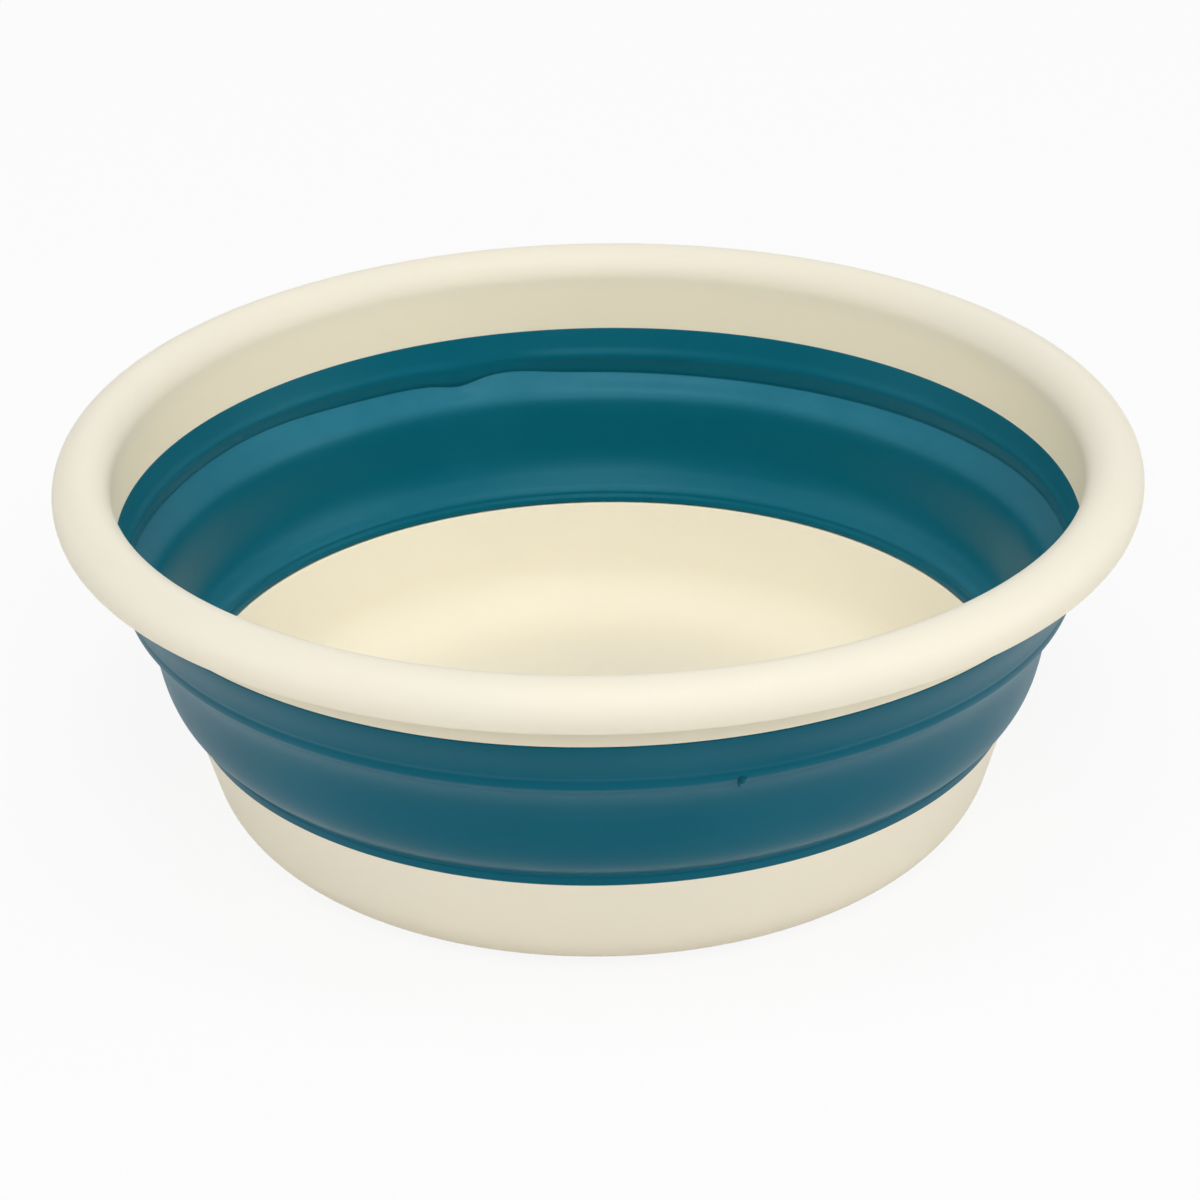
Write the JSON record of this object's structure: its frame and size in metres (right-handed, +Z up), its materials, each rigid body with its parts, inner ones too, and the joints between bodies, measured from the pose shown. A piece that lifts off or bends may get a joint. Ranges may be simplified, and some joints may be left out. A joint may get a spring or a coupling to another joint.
{
  "type": "collapsible washbasin",
  "caption": "Round collapsible washbasin: a rigid rim with a rolled lip and a rigid flat-bottomed pan, joined by a flexible ribbed band that folds so the rim drops around the pan.",
  "frame": {"origin": "centre of the pan's flat underside, on the bowl's axis", "axes": "+Z up along the bowl's axis; the bowl is round, so +X and +Y are any two square directions"},
  "size_m": [0.38, 0.38, 0.1365],
  "materials": {
    "rim_plastic": "satin",
    "pan_plastic": "satin",
    "band_rubber": "satin"
  },
  "bodies": {
    "base": {"base_pan": "pan_plastic", "band_cuff": "band_rubber"},
    "rim": {"rim": "rim_plastic", "band_upper": "band_rubber"},
    "fold_1": {"band_fold_1": "band_rubber"},
    "fold_2": {"band_fold_2": "band_rubber"},
    "fold_3": {"band_fold_3": "band_rubber"},
    "fold_4": {"band_fold_4": "band_rubber"},
    "fold_5": {"band_fold_5": "band_rubber"}
  },
  "joints": [
    {"name": "collapse", "type": "slide", "parent": "base", "child": "rim", "axis": [0, 0, 1], "range_m": [-0.085, 0]},
    {"name": "fold_1_slide", "type": "slide", "parent": "base", "child": "fold_1", "axis": [0, 0, 1], "range_m": [-0.012, 0]},
    {"name": "fold_2_slide", "type": "slide", "parent": "base", "child": "fold_2", "axis": [0, 0, 1], "range_m": [-0.0283, 0]},
    {"name": "fold_3_slide", "type": "slide", "parent": "base", "child": "fold_3", "axis": [0, 0, 1], "range_m": [-0.0423, 0]},
    {"name": "fold_4_slide", "type": "slide", "parent": "base", "child": "fold_4", "axis": [0, 0, 1], "range_m": [-0.0564, 0]},
    {"name": "fold_5_slide", "type": "slide", "parent": "base", "child": "fold_5", "axis": [0, 0, 1], "range_m": [-0.0735, 0]}
  ],
  "couplings": [
    {"joint": "fold_1_slide", "follows": "collapse", "ratio": 0.1402},
    {"joint": "fold_2_slide", "follows": "collapse", "ratio": 0.3329},
    {"joint": "fold_3_slide", "follows": "collapse", "ratio": 0.4971},
    {"joint": "fold_4_slide", "follows": "collapse", "ratio": 0.6634},
    {"joint": "fold_5_slide", "follows": "collapse", "ratio": 0.8639}
  ]
}
